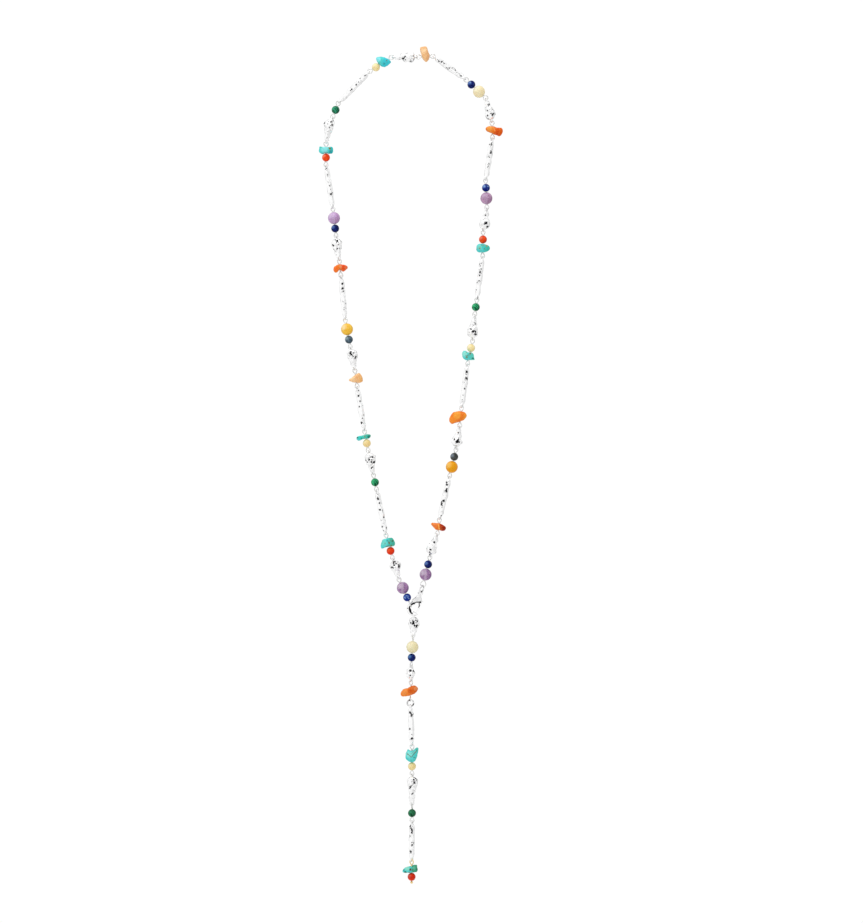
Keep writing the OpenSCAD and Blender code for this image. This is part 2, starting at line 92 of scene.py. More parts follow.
class Nodes:
    """A node tree, filled from empty. Inputs are other nodes' sockets or plain values."""

    def __init__(self, tree):
        self.tree = tree
        self.tree.nodes.clear()

    def add(self, kind, inputs=(), **props):
        n = self.tree.nodes.new(kind)
        for key, value in props.items():
            setattr(n, key, value)
        for key, value in dict(inputs).items():
            self.put(n.inputs[key], value)
        return n

    def put(self, socket, value):
        if isinstance(value, bpy.types.NodeSocket):
            self.tree.links.new(value, socket)
        else:
            socket.default_value = value


class Look(Nodes):
    """A node material with the piece's own coordinates in mm at self.at."""

    def __init__(self, name, centre=(0, 0, 0)):
        self.mat = bpy.data.materials.new(name)
        self.mat.use_nodes = True
        super().__init__(self.mat.node_tree)
        self.shader = self.add("ShaderNodeBsdfPrincipled")
        self.add("ShaderNodeOutputMaterial", {"Surface": self.shader.outputs[0]})
        place = self.add("ShaderNodeTexCoord").outputs["Object"]
        moved = self.vector("SUBTRACT", place, centre)
        self.at = self.vector("SCALE", moved, scale=1 / MM)

    def vector(self, operation, a, b=None, scale=None):
        n = self.add("ShaderNodeVectorMath", operation=operation)
        self.put(n.inputs[0], a)
        if b is not None:
            self.put(n.inputs[1], b)
        if scale is not None:
            n.inputs["Scale"].default_value = scale
        return n.outputs["Value" if operation in ("DOT_PRODUCT", "LENGTH") else "Vector"]

    def maths(self, operation, a, b=0.0, clamp=False):
        n = self.add("ShaderNodeMath", operation=operation, use_clamp=clamp)
        self.put(n.inputs[0], a)
        self.put(n.inputs[1], b)
        return n.outputs[0]

    def noise(self, scale, detail=3, rough=0.55, colour=False, offset=None):
        at = self.at
        if offset is not None:
            at = self.vector("ADD", at, (offset, offset * 0.7, -offset))
        inputs = {"Vector": at, "Scale": scale, "Detail": detail, "Roughness": rough}
        n = self.add("ShaderNodeTexNoise", inputs)
        return n.outputs["Color" if colour else "Fac"]

    def ramp(self, value, low, high, to_low=0.0, to_high=1.0):
        """A smooth step: to_low at low, to_high at high."""
        n = self.add("ShaderNodeMapRange", interpolation_type="SMOOTHSTEP")
        for i, v in enumerate((value, low, high, to_low, to_high)):
            self.put(n.inputs[i], v)
        return n.outputs[0]

    def blend(self, share, a, b):
        """Colour a, with that share of colour b."""
        n = self.add("ShaderNodeMix", data_type="RGBA", clamp_factor=True)
        self.put(n.inputs[0], share)
        self.put(n.inputs[6], a)
        self.put(n.inputs[7], b)
        return n.outputs[2]

    def set(self, **values):
        """Sets the shader's inputs. A space in a name is an underscore here."""
        for key, value in values.items():
            self.put(self.shader.inputs[key.replace("_", " ")], value)

    def bump(self, height, distance, strength=1.0):
        inputs = {"Height": height, "Distance": distance * MM, "Strength": strength}
        self.put(self.shader.inputs["Normal"], self.add("ShaderNodeBump", inputs).outputs[0])


# Meshes in mm

def solids(name):
    """The loose solids of a CAD node as (points in mm, triangles), from the top down."""
    me = NODES[name].data
    co = np.empty(len(me.vertices) * 3, np.float32)
    me.vertices.foreach_get("co", co)
    corner = np.empty(len(me.loops), np.int64)
    me.loops.foreach_get("vertex_index", corner)
    points, same = np.unique(co.reshape(-1, 3), axis=0, return_inverse=True)
    tri = same.reshape(-1)[corner].reshape(-1, 3)
    label = np.arange(len(points))
    while True:
        low = label[tri].min(1)
        new = label.copy()
        np.minimum.at(new, tri.ravel(), np.repeat(low, 3))
        new = new[new]
        if (new == label).all():
            break
        label = new
    found = []
    for root in np.unique(label):
        own = np.flatnonzero(label == root)
        back = np.full(len(points), -1)
        back[own] = np.arange(len(own))
        found.append((points[own].astype(float) / MM, back[tri[label[tri[:, 0]] == root]]))
    return sorted(found, key=lambda s: -s[0][:, 2].mean())


def arrays(me):
    """Points, normals and faces of a mesh."""
    co = np.empty(len(me.vertices) * 3)
    me.vertices.foreach_get("co", co)
    normal = np.empty(len(me.vertices) * 3)
    me.vertices.foreach_get("normal", normal)
    return co.reshape(-1, 3), normal.reshape(-1, 3), [tuple(p.vertices) for p in me.polygons]


def remeshed(points, faces, voxel, smooth):
    """The solid as an even skin: points, normals and faces, in mm."""
    me = bpy.data.meshes.new("work")
    me.from_pydata(points.tolist(), [], [tuple(f) for f in faces])
    ob = bpy.data.objects.new("work", me)
    bpy.context.scene.collection.objects.link(ob)
    skin = ob.modifiers.new("skin", "REMESH")
    skin.mode = "VOXEL"
    skin.voxel_size = voxel
    soft = ob.modifiers.new("soft", "SMOOTH")
    soft.iterations = smooth
    soft.factor = 0.5
    dg = bpy.context.evaluated_depsgraph_get()
    done = arrays(ob.evaluated_get(dg).to_mesh())
    bpy.data.objects.remove(ob)
    bpy.data.meshes.remove(me)
    return done


def normals_of(points, faces):
    """The normals of a mesh at its points."""
    me = bpy.data.meshes.new("work")
    me.from_pydata(points.tolist(), [], faces)
    done = arrays(me)[1]
    bpy.data.meshes.remove(me)
    return done


def piece(name, shells, look, body, node):
    """A visible piece in place of a CAD node. A shell is (points in mm, faces, share of dark or
    None), the dark being oxide in pits and painted shade.
    """
    points, faces, dark = [], [], []
    base = 0
    for p, f, d in shells:
        points.append(np.asarray(p))
        faces += [tuple(i + base for i in face) for face in f]
        dark.append(np.zeros(len(p)) if d is None else d)
        base += len(p)
    me = bpy.data.meshes.new(name)
    me.from_pydata((np.concatenate(points) * MM).tolist(), [], faces)
    oxide_and_painted_shade = me.attributes.new("oxide_and_painted_shade", "FLOAT", "POINT")
    oxide_and_painted_shade.data.foreach_set("value", np.concatenate(dark).astype(np.float32))
    me.polygons.foreach_set("use_smooth", [True] * len(me.polygons))
    me.materials.append(look.mat)
    ob = bpy.data.objects.new(name, me)
    bpy.context.scene.collection.objects.link(ob)
    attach(ob, body)
    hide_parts(node)


def unit(v):
    v = np.asarray(v, float)
    return v / np.linalg.norm(v)


def waves(points, rng, scale, octaves=2, count=12):
    """Smooth seeded noise of that scale in mm, about -1 to 1."""
    total = np.zeros(len(points))
    for o in range(octaves):
        k = rng.normal(size=(count, 3))
        length = 2 * math.pi / (scale / 2**o) * rng.uniform(0.7, 1.3, count)
        k *= (length / np.linalg.norm(k, axis=1))[:, None]
        phase = rng.uniform(0, 2 * math.pi, count)
        total += np.sin(points @ k.T + phase).sum(1) * math.sqrt(2 / count) / 2**o
    return total / 1.6


def dip(points, normals, at, way, radius):
    """Share of a round dent at a place, 0 to 1, on the side that faces way."""
    d = np.linalg.norm(points - at, axis=1) / radius
    facing = np.clip(normals @ way * 2, 0, 1)
    return np.where(d < 1, (1 - d * d) ** 2, 0) * facing


def axis_of(points):
    """Middle, direction and half length of a long solid."""
    middle = points.mean(0)
    u = np.linalg.eigh(np.cov((points - middle).T))[1][:, 2]
    s = (points - middle) @ u
    return middle + u * (s.max() + s.min()) / 2, u, (s.max() - s.min()) / 2


def step(x, low, high):
    """A smooth step from 0 at low to 1 at high."""
    t = np.clip((x - low) / (high - low), 0, 1)
    return t * t * (3 - 2 * t)


def tube(path, radius, sides=12, closed=False):
    """A round tube along a path of points in mm. radius is a number or one for each point."""
    path = np.asarray(path, float)
    n = len(path)
    radius = np.broadcast_to(np.asarray(radius, float), n)
    ahead = np.roll(path, -1, 0) - np.roll(path, 1, 0)
    if not closed:
        ahead[0], ahead[-1] = path[1] - path[0], path[-1] - path[-2]
    ahead /= np.linalg.norm(ahead, axis=1)[:, None]
    side = [unit(np.cross(ahead[0], (0.31, 0.87, 0.38)))]
    for i in range(1, n):
        v = side[-1] - ahead[i] * (side[-1] @ ahead[i])
        side.append(unit(v))
    side = np.array(side)
    if closed:
        end = side[-1] - ahead[0] * (side[-1] @ ahead[0])
        other = np.cross(ahead[0], side[0])
        twist = math.atan2(unit(end) @ other, unit(end) @ side[0])
        turn = -twist * np.arange(n) / n
        side = side * np.cos(turn)[:, None] + np.cross(ahead, side) * np.sin(turn)[:, None]
    up = np.cross(ahead, side)
    angle = 2 * math.pi * np.arange(sides) / sides
    cos, sin = np.cos(angle)[None, :, None], np.sin(angle)[None, :, None]
    rings = path[:, None] + radius[:, None, None] * (cos * side[:, None] + sin * up[:, None])
    points = rings.reshape(-1, 3)
    faces = []
    for i in range(n if closed else n - 1):
        j = (i + 1) % n
        for k in range(sides):
            m = (k + 1) % sides
            faces.append((i * sides + k, i * sides + m, j * sides + m, j * sides + k))
    if not closed:
        faces.append(tuple(range(sides))[::-1])
        faces.append(tuple((n - 1) * sides + k for k in range(sides)))
    return points, faces


# Camera, light and stage

# Lamps: name, place and size in m, power in W. All point at the middle.
MIDDLE = (0.01, 0, -0.2)
LAMPS = (
    ("key", (-0.8, -0.95, 0.15), 0.62, 15), ("fill", (0.9, -0.7, -0.3), 0.8, 2),
    ("top", (-0.2, -0.3, 1.0), 0.8, 5),
)
# The white tent that the silver mirrors: how bright it is, then its less bright parts as way, outer
# and inner edge in degrees and brightness, and its small dark gaps as way and half width in degrees
TENT = 1.05
TENT_PARTS = (
    (unit((0.75, -0.25, -0.6)), 72, 12, 0.78),
    ((0, 1, 0), 74, 15, 0.44),
    ((0, 0.15, -0.99), 50, 20, 0.68),
)
TENT_GAPS = (
    ((0.12, -0.93, 0.36), 8), ((0.72, -0.66, 0.2), 7), ((0.3, -0.8, -0.52), 8),
    ((-0.45, -0.75, -0.5), 6), ((0.75, 0.1, 0.65), 9), ((-0.8, 0.3, -0.5), 10),
)
GAP = 0.03
# What lights the matt surfaces, from its dark side to its bright one, and what the camera sees
SOFT_LIGHT = (0.7, 1.0)
SOFT_WAY = (-0.5, -0.6, 0.6)
BACKDROP = 1.02
FLOOR_RADIUS = 0.85
FLOOR_SIDES = 48
FLOOR_AT = (0.01, 0, -0.64)


def studio():
    """The camera, the lamps, the white tent and a floor."""
    scene = bpy.context.scene
    scene.view_settings.view_transform = "Standard"
    camera = bpy.data.objects.new("camera", bpy.data.cameras.new("camera"))
    scene.collection.objects.link(camera)
    scene.camera = camera
    camera.data.lens = LENS
    camera.data.sensor_width = SENSOR
    camera.data.clip_start = 0.01
    away = PICTURE_HEIGHT * LENS / SENSOR
    camera.location = (PICTURE_CENTRE[0] * MM, -away * MM, PICTURE_CENTRE[1] * MM)
    camera.rotation_euler = (math.pi / 2, 0, 0)

    for name, at, size, power in LAMPS:
        lamp = bpy.data.lights.new(name, "AREA")
        lamp.shape = "DISK"
        lamp.size = size
        lamp.energy = power
        ob = bpy.data.objects.new(name, lamp)
        ob.location = at
        way = np.array(MIDDLE) - np.array(at)
        lean = math.acos(-way[2] / np.linalg.norm(way))
        ob.rotation_euler = (lean, 0, math.atan2(way[0], -way[1]))
        scene.collection.objects.link(ob)

    world = bpy.data.worlds.new("tent")
    scene.world = world
    world.use_nodes = True
    tent = Nodes(world.node_tree)
    seen_way = tent.add("ShaderNodeTexCoord").outputs["Generated"]

    def cone(way, edge, inner):
        """A round part of the tent: 1 inside its inner edge and 0 beyond its outer one."""
        d = tent.add("ShaderNodeVectorMath", {0: seen_way, 1: tuple(way)}, operation="DOT_PRODUCT")
        low, high = math.cos(math.radians(edge)), math.cos(math.radians(inner))
        inputs = {0: d.outputs["Value"], 1: low, 2: high}
        return tent.add("ShaderNodeMapRange", inputs, interpolation_type="SMOOTHSTEP").outputs[0]

    def over(share, a, b):
        return tent.add("ShaderNodeMix", {0: share, 2: a, 3: b}, data_type="FLOAT").outputs[0]

    mirror = TENT
    for way, edge, inner, level in TENT_PARTS:
        mirror = over(cone(way, edge, inner), mirror, level)
    for way, size in TENT_GAPS:
        mirror = over(cone(unit(way), size + 3, size - 1), mirror, GAP)
    soft = over(cone(SOFT_WAY, 110, 20), *SOFT_LIGHT)
    ray = tent.add("ShaderNodeLightPath").outputs
    level = over(ray["Is Glossy Ray"], soft, mirror)
    level = over(ray["Is Camera Ray"], level, BACKDROP)
    back = tent.add("ShaderNodeBackground", {"Color": (1, 1, 1, 1), "Strength": level})
    tent.add("ShaderNodeOutputWorld", {"Surface": back.outputs[0]})

    # A pale floor under the hanging necklace
    turns = [2 * math.pi * i / FLOOR_SIDES for i in range(FLOOR_SIDES)]
    rim = [(FLOOR_RADIUS * math.cos(t), FLOOR_RADIUS * math.sin(t), 0) for t in turns]
    me = bpy.data.meshes.new("floor")
    me.from_pydata(rim, [], [tuple(range(FLOOR_SIDES))])
    floor = bpy.data.objects.new("floor", me)
    floor.location = FLOOR_AT
    look = Look("floor")
    paper = look.blend(look.noise(0.02), (0.9, 0.9, 0.9, 1), (0.94, 0.94, 0.94, 1))
    look.set(Base_Color=paper, Roughness=0.8)
    me.materials.append(look.mat)
    scene.collection.objects.link(floor)


# Small dark places of the silver, read off the picture: [x, y, radius] in its pixels
# They are sunk as pits and painted dark: partly oxide in the pits, partly painted reflection
SPECKS = [
    # Nuggets of the left arm and the top
    [324.5, 123.2, 0.8], [328.5, 122, 0.5], [331.5, 122.2, 0.8], [333.5, 121, 0.6],
    [332.5, 125.5, 0.9], [329.5, 128, 0.5], [330.5, 126.2, 0.4], [327.5, 132.2, 0.4],
    [331.5, 242, 0.8], [332.7, 245.2, 0.7], [333.4, 246.2, 0.6], [335.5, 240, 0.6],
    [337.5, 241, 0.9], [339.5, 240, 0.5], [340.5, 238.8, 0.5], [340.6, 241, 0.4], [336.5, 243, 0.5],
    [338.5, 243, 0.5], [338.5, 245, 0.5], [337.5, 249, 0.5], [339.8, 248.5, 0.5],
    [350.8, 351.8, 0.8], [350.4, 353.3, 0.9], [351.2, 354.7, 0.9], [352.4, 355.8, 0.5],
    [353.3, 353, 0.6], [353.4, 356.8, 0.5], [356.2, 356.8, 0.9], [355.5, 358.2, 0.7],
    [348.4, 350, 0.4], [369, 459.7, 1.2], [368.5, 458, 0.6], [370.5, 457.2, 0.6], [372.8, 457, 0.8],
    [371.8, 459.5, 0.5], [371.5, 462, 0.9], [367.5, 462, 0.6], [365.7, 460.7, 0.9],
    [374.6, 462.3, 1.1], [371.4, 468.2, 0.7], [373, 467.2, 0.7], [393.9, 561.6, 1],
    [393.3, 563, 1.1], [393.3, 564.5, 1.1], [394.4, 565.3, 0.7], [395.4, 562, 0.5],
    [396.2, 563.6, 0.8], [399.3, 565.2, 1], [399.4, 566.8, 1], [391.7, 566.9, 0.8],
    [393.3, 567.8, 0.5], [403, 59, 1], [404.2, 58.3, 0.6], [405.3, 57, 0.6], [414.5, 60, 0.9],
    [411, 62, 0.8], [415.5, 61.8, 0.5], [413.8, 56.8, 0.5], [411.5, 55, 0.4], [400.6, 55.2, 0.5],
    [405.5, 60.2, 0.5],
    # Nuggets of the right arm
    [485.3, 99, 0.5], [489.3, 104.3, 0.7], [487.3, 111, 0.7], [487.5, 116, 0.7],
    [488.3, 119.3, 0.6], [492.7, 115.2, 1], [493.6, 114, 0.7], [487.3, 209.8, 0.6],
    [485.3, 215.3, 0.6], [486.4, 222.7, 1], [485.2, 224.2, 1], [487.4, 227, 0.9],
    [481.5, 229.2, 0.5], [486.7, 228.4, 0.4], [475.5, 324, 0.6], [470.8, 329.2, 0.7],
    [472.9, 332, 1], [474.4, 331, 0.8], [475.6, 331.9, 0.8], [475.6, 334.6, 1], [458.4, 432.7, 0.7],
    [454.4, 439.3, 0.8], [458.7, 439.6, 1], [457.9, 441, 1.3], [456.9, 442, 1], [459.5, 441.8, 0.8],
    [453.5, 446.7, 0.6], [434.4, 542, 0.8], [430.4, 549.4, 0.8], [429.8, 552.2, 0.6],
    [429.9, 554.5, 1.2],
    # Nuggets of the drop
    [413.2, 621, 1.1], [413.3, 622.5, 1.3], [412.6, 623.5, 0.9], [410.5, 622.5, 0.9],
    [415.5, 620.2, 0.6], [417.3, 621, 0.8], [415.4, 617.2, 0.6], [416.3, 616.9, 0.7],
    [416.9, 615.6, 0.7], [416.9, 614.3, 0.6], [414.5, 625, 0.9], [417, 625.5, 1],
    [416.7, 626.5, 0.8], [415.9, 622.6, 0.5], [405.3, 668.9, 0.9], [405.1, 672.2, 1.1],
    [410.2, 670.6, 1], [413.7, 670.9, 0.8], [410.2, 675.2, 0.7], [412, 677.4, 0.4],
    [411.3, 667, 0.5], [408.4, 776.3, 1.1], [414.2, 777.2, 0.6], [415.6, 777, 0.6],
    [416.2, 778.2, 0.8], [414, 779, 0.6], [414, 780.5, 0.7], [414.5, 782, 1], [416.3, 780.4, 0.5],
    [413, 783.4, 0.5], [412.2, 784.8, 0.5], [411.2, 786, 0.5], [410.2, 787.2, 0.9],
    [409.2, 788.5, 0.5], [412.9, 793.2, 0.8], [410.2, 773.5, 0.6],
    # Bars of the left arm and the top
    [363.5, 72.5, 0.7], [360, 78.5, 0.5], [348.5, 88, 0.7], [350, 86.8, 0.6], [326, 169, 0.7],
    [331, 194.5, 1], [332.2, 193.3, 0.5], [334, 206, 0.8], [331, 189.5, 0.4], [341.5, 278.5, 0.6],
    [342.5, 284, 0.9], [343, 288.7, 1.1], [343.4, 291.5, 0.7], [347, 303.7, 0.7], [356, 391, 0.5],
    [358.3, 390.5, 0.5], [358.3, 396, 0.9], [360.3, 401, 0.6], [359.2, 407, 0.5], [364, 415, 0.5],
    [361.5, 423.2, 1], [376.3, 493, 0.5], [378, 499, 1], [379.3, 503.3, 0.6], [380, 509.8, 0.7],
    [384, 517.3, 0.7], [382, 526.8, 0.6], [383.5, 531, 0.7], [438.8, 61.5, 0.7], [441.5, 62, 0.8],
    [443, 61.3, 0.5], [449, 68.5, 0.6], [452.8, 68, 0.5], [455.5, 70.5, 0.7], [461.3, 76.3, 0.7],
    # Bars of the right arm
    [488.8, 144, 0.5], [490, 145.2, 0.6], [491, 151.2, 0.5], [491, 153.2, 0.9], [488, 157, 0.6],
    [489, 164.3, 0.5], [488.2, 178, 0.8], [478.5, 264.3, 0.9], [480, 266, 0.5], [480, 270, 0.5],
    [480, 272.2, 0.9], [481.2, 273.3, 0.5], [479.8, 275.5, 0.7], [479, 281.3, 0.6], [477, 283, 0.5],
    [476, 289.8, 0.5], [477.7, 298, 0.9], [466.6, 372, 1], [466, 378, 1], [467.3, 379.3, 0.9],
    [464.8, 389, 0.6], [446.5, 482.5, 0.7], [446.6, 484.5, 1.1], [446.6, 489, 0.9],
    [446.4, 490.8, 1.1], [443.6, 500.8, 1], [441.5, 502, 0.8], [441.6, 504, 0.9], [441.9, 506, 0.7],
    [441.5, 516, 0.7],
    # Bars of the drop
    [409.8, 712.3, 1.1], [411, 713.5, 0.8], [412, 714.8, 0.9], [409.8, 729, 0.8], [412, 738.3, 1],
    [411.5, 734, 0.4], [410, 826, 1.1], [410.8, 828, 0.8], [411.5, 829.5, 1], [412, 832, 1],
    [410, 836, 0.5], [412, 842, 0.5], [412, 844.5, 0.7], [410.7, 851.5, 1],
]
# The same on the clasp
CLASP_SPECKS = [[410.6, 601.6, 0.8], [407.5, 608.3, 0.4], [421.5, 591.4, 0.6], [418.5, 593, 0.3]]
# Dark grooves of the clasp, sunk a little and painted dark as shade: [x, y, x, y, half width].
# The slot over the hook, and the shoulder's upper edge.
CLASP_GROOVES = [
    [411.8, 604.3, 413.2, 603.4, 0.9], [413.2, 603.4, 415.6, 602.9, 0.8],
    [415.6, 602.9, 420.5, 602.3, 1.1], [412.3, 599, 415.2, 597, 0.6],
]
# The lever's dark inner edge, a groove painted dark as shade
LEVER_GROOVES = [[418.7, 603.4, 418.6, 605.6, 1.1], [418.6, 605.6, 418.3, 607, 0.8]]
# Darker places of the rings: [x, y, radius, share]
RING_GREYS = {
    "drop_ring": [
        [409.5, 699.9, 1.4, 0.95], [407.4, 701.2, 2, 0.4], [407.2, 702.9, 2, 0.45],
        [407.6, 704.4, 1.8, 0.3], [413.7, 704.5, 1.5, 0.9], [412.4, 705.8, 1.5, 0.6],
        [413.6, 700.8, 1.6, 0.35],
    ],
    "clasp_ring": [[421.5, 587, 1.6, 0.4], [424.6, 586.6, 1.8, 0.4], [422.6, 590.5, 1.6, 0.5]],
}
# Broad greyer places of the clasp, painted shade on its front: [x, y, radius, share]
CLASP_GREYS = [
    [414, 600.5, 2, 0.17], [417, 599, 2.6, 0.23], [419.8, 598, 2.4, 0.2], [420.6, 601, 1.6, 0.26],
    [413, 614.5, 1.6, 0.14],
]
# The middle of the hook's bend as [x, z], its radius and its tube's radius with some room, in mm
HOOK = (0.85, -272.76)
HOOK_R = 2.75
HOOK_TUBE = 0.95
# Where along the bend its inner wall is painted dark as shade, in degrees
WALL_FROM, WALL_TO = 108, 262
# Between these the wall swells inwards by that many mm into a crescent that carries the painted
# shade, clear of the eye above and the loop below
SWELL_FROM, SWELL_TO = 146, 248
SWELL = 0.75


# Silver

# Radii and half widths of specks and grooves in mm for each pixel, how deep a pit is for each mm of
# its radius, and how deep a groove is in mm
SPECK_SIZE = 0.74
GROOVE_SIZE = 0.6
PIT_DEPTH = 0.4
GROOVE_DEPTH = 0.22
# The two kinds of casting: how far its skin swells and over what length, its dents' depths and
# radii, all in mm, and how many loose pits it has. Then how many dents each casting has, and the
# radii of loose pits in mm.
CASTINGS = {
    "bar": (0.09, 3.6, (0.08, 0.2), (0.9, 1.5), 8),
    "nugget": (0.18, 2.6, (0.2, 0.5), (0.9, 1.7), 12),
}
DENTS = 12
PIT_RADII = (0.2, 0.42)


def silver_look():
    """The silver of castings, rings and clasp: bright, and blackened by its share of dark, which is
    oxide in pits and painted shade and reflection.
    """
    look = Look("silver")
    dark = look.add("ShaderNodeAttribute", attribute_name="oxide_and_painted_shade").outputs["Fac"]
    grime = look.maths("MULTIPLY", look.ramp(look.noise(1.3, 4), 0.46, 0.66), 0.05)
    share = look.maths("ADD", dark, grime, clamp=True)
    tone = look.blend(look.noise(0.8), rgb(252, 252, 252), rgb(246, 246, 246))
    polish = look.ramp(look.noise(2.2), 0.35, 0.7, 0.07, 0.15)
    look.set(
        Base_Color=look.blend(share, tone, rgb(22, 22, 26)),
        Metallic=1.0,
        Roughness=look.ramp(share, 0.1, 0.9, polish, 0.42),
    )
    look.bump(look.noise(2.6, 3), 0.03, 0.35)
    return look


def wire_look(name, a, b):
    """A wire's metal, uneven between two colours."""
    look = Look(name)
    look.set(
        Base_Color=look.blend(look.ramp(look.noise(1.3), 0.35, 0.65), a, b),
        Metallic=1.0,
        Roughness=look.ramp(look.noise(4.0), 0.35, 0.65, 0.2, 0.3),
    )
    look.bump(look.noise(9, 2), 0.012, 0.5)
    return look


def seen(px, py):
    """A place of the picture as [x, z] in mm on the necklace's plane."""
    return np.array(((px - PIXEL_ZERO[0]) / PIXELS_PER_MM, (PIXEL_ZERO[1] - py) / PIXELS_PER_MM))


def front_of(points, normals, place):
    """The point of the skin that shows at that place from the front, or None."""
    off = np.hypot(points[:, 0] - place[0], points[:, 2] - place[1])
    near = np.flatnonzero((off < 0.7) & (normals[:, 1] < -0.1))
    return near[np.argmin(off[near])] if len(near) else None


def blacken(points, normals, specks, loose, grooves=()):
    """The skin with dark pits and grooves sunk into it, and its share of dark: oxide in the pits,
    partly painted reflection at the specks, and painted shade in the grooves.

    Specks and grooves are places of the picture, and loose pits are [index, radius].
    """
    shift = np.zeros(len(points))
    dark = np.zeros(len(points))
    # The rims of the dark places waver
    uneven = 1 + 0.28 * waves(points, np.random.default_rng(5), 0.9)
    places = list(loose)
    for px, py, r in specks:
        i = front_of(points, normals, seen(px, py))
        if i is not None:
            places.append((i, r * SPECK_SIZE))
    for i, r in places:
        shift -= PIT_DEPTH * r * dip(points, normals, points[i], normals[i], r * 1.4)
        off = np.linalg.norm(points - points[i], axis=1) * uneven
        dark = np.maximum(dark, 1 - step(off, r * 0.6, r * 1.05))
    flat = points[:, [0, 2]]
    for x0, y0, x1, y1, w in grooves:
        a, b, w = seen(x0, y0), seen(x1, y1), w * GROOVE_SIZE
        t = np.clip((flat - a) @ (b - a) / ((b - a) @ (b - a)), 0, 1)
        off = np.linalg.norm(flat - a - t[:, None] * (b - a), axis=1) * (1 + 0.5 * (uneven - 1))
        share = (1 - step(off, w * 0.6, w * 1.1)) * np.clip(-normals[:, 1] * 4, 0, 1)
        shift -= GROOVE_DEPTH * share
        dark = np.maximum(dark, share)
    return points + normals * shift[:, None], dark


def grey_share(points, places):
    """The share of dark at each point, from places of the picture as [x, y, radius, share]."""
    dark = np.zeros(len(points))
    for px, py, r, share in places:
        x, z = seen(px, py)
        off = np.hypot(points[:, 0] - x, points[:, 2] - z)
        dark = np.maximum(dark, share * (1 - step(off, r * 0.25, r * 0.6)))
    return dark


def hook_wall(points, normals):
    """The skin with the hook's inner wall swollen to a crescent, and the share of painted shade
    there.
    """
    x, z = points[:, 0] - HOOK[0], points[:, 2] - HOOK[1]
    r = np.maximum(np.hypot(x, z), 1e-6)
    turn = np.degrees(np.arctan2(z, x)) % 360
    inward = np.stack((-x / r, np.zeros(len(x)), -z / r), 1)
    facing = np.clip((normals * inward).sum(1), 0, 1)
    on_tube = np.abs(r - HOOK_R) < HOOK_TUBE
    swell = np.sin(math.pi * np.clip((turn - SWELL_FROM) / (SWELL_TO - SWELL_FROM), 0, 1)) ** 1.5
    wall = step(turn, WALL_FROM - 8, WALL_FROM + 8) * (1 - step(turn, WALL_TO - 12, WALL_TO + 6))
    push = np.where(on_tube, SWELL * swell * step(facing, 0.0, 0.9), 0)
    dark = np.where(on_tube, wall * step(facing - 0.1 * swell, 0.0, 0.24), 0)
    return points + inward * push[:, None], dark


def loop_zone(points, way):
    """How far the loop reaches from that end of a link: further where it rides on the hook."""
    s = points @ way
    tip = points[s > s.max() - 1.3]
    tip = tip - np.outer(tip @ way, way)
    reach = np.linalg.norm(tip - tip.mean(0), axis=1).max()
    return WIDE_LOOP_ZONE if reach > WIDE_LOOP else LOOP_ZONE


def casting(points, faces, seed, kind):
    """One cast link from its CAD solid: an even skin, dented and pitted between its two loops."""
    lump, size, deep, wide, pits = CASTINGS[kind]
    rng = np.random.default_rng(seed)
    p, n, f = remeshed(points, faces, VOXEL, 2)
    middle, u, half = axis_of(points)
    s = (p - middle) @ u
    zone = np.where(s < 0, loop_zone(points, -u), loop_zone(points, u))
    body = step(half - np.abs(s), zone - 0.7, zone + 0.3)
    # Remeshing and smoothing take a little off
    p = p + n * 0.03
    shift = lump * waves(p, rng, size)
    place = np.flatnonzero(body > 0.6)
    for _ in range(DENTS):
        i = rng.choice(place)
        d = dip(p, n, p[i], n[i], rng.uniform(*wide))
        shift = shift - rng.uniform(*deep) * d
    p = p + n * (shift * body)[:, None]
    n = normals_of(p, f)
    # The picture's specks give the front's pits, partly oxide and partly painted reflection,
    # so the loose ones are on the back and the sides
    place = np.flatnonzero((body > 0.4) & (n[:, 1] > 0.1))
    loose = [(rng.choice(place), rng.uniform(*PIT_RADII)) for _ in range(pits)]
    p, dark = blacken(p, n, SPECKS, loose)
    return p, f, dark


# Wires

def eye_path(centre, into, side, outer, deep):
    """Path of one eye, from that deep in the stone's hole, round and back to the same depth."""
    def curve(a, b, c, d, count):
        t = np.linspace(0, 1, count, endpoint=False)[:, None]
        return (1 - t) ** 3 * a + 3 * (1 - t) ** 2 * t * b + 3 * (1 - t) * t * t * c + t**3 * d

    def place(i, t):
        return centre + i * into + t * side

    wide, far, bend = outer - EYE_INSET, outer * 0.74, outer * 0.53
    mouth = outer + EYE_MOUTH
    hole, part = mouth + EYE_STRAIGHT, mouth - EYE_PART
    apart = STRAND_APART
    out = curve(place(hole, apart), place(part, apart), place(bend, wide), place(0, wide), 12)
    turn = [place(-far * math.sin(a), wide * math.cos(a)) for a in np.linspace(0, math.pi, 25)[:-1]]
    back = curve(place(0, -wide), place(bend, -wide), place(part, -apart), place(hole, -apart), 12)
    end = [place(hole, -apart), place(mouth + deep, -apart)]
    return [place(mouth + deep, apart), *out, *turn, *back, *end]


def eye_at(points, end, u):
    """Centre, sideways direction and outer radius of a wire's eye. u points in from its end."""
    near = points[(points - end) @ u < EYE_ZONE]
    flat = near - np.outer((near - end) @ u, u)
    side = np.linalg.eigh(np.cov((flat - flat.mean(0)).T))[1][:, 2]
    outer = np.ptp(flat @ side) / 2
    return end + outer * u, side, outer


